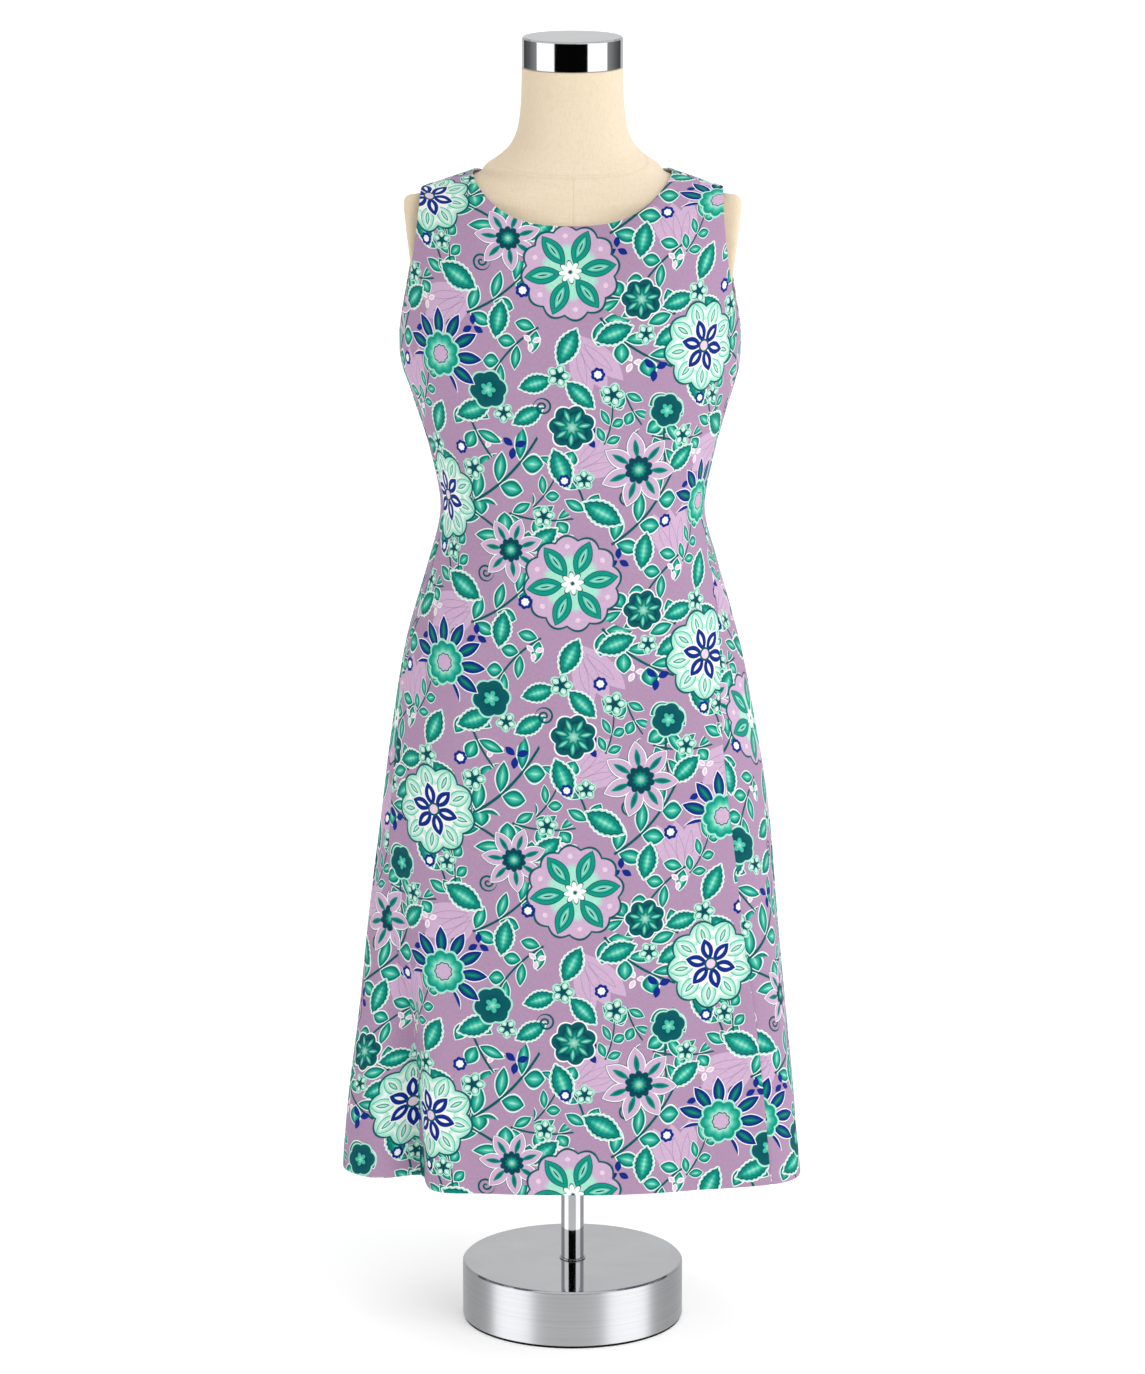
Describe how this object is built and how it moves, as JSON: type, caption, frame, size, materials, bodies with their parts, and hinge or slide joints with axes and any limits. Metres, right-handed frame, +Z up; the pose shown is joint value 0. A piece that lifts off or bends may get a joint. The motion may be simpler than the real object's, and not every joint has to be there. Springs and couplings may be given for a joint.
{
  "type": "sheath dress on a dress form",
  "caption": "Sleeveless knee-length sheath dress in floral cloth, scoop-necked and flared below the waist, worn by a limbless cream dress form on a round chromed stand.",
  "frame": {"origin": "centre of the underside of the stand's pad, on the pole's line", "axes": "+Z up the pole, the dress faces -Y, +X to the right of someone who looks at its front"},
  "size_m": [0.4097, 0.2445, 1.1628],
  "materials": {
    "printed_cloth": "matte cotton sateen, lilac ground with a green, mint, navy and white floral print",
    "form_cloth": "matte cream linen stretched over the form",
    "chrome": "polished",
    "rubber": "matte black"
  },
  "bodies": {
    "root": {"dress_front": "printed_cloth", "dress_back": "printed_cloth", "form_torso": "form_cloth", "arm_plate_right": "form_cloth", "arm_plate_left": "form_cloth", "neck_cap": "chrome", "pole_flange": "chrome", "stand_pole": "chrome", "pole_ring": "chrome", "stand_base": "chrome", "base_pad": "rubber"}
  },
  "joints": []
}
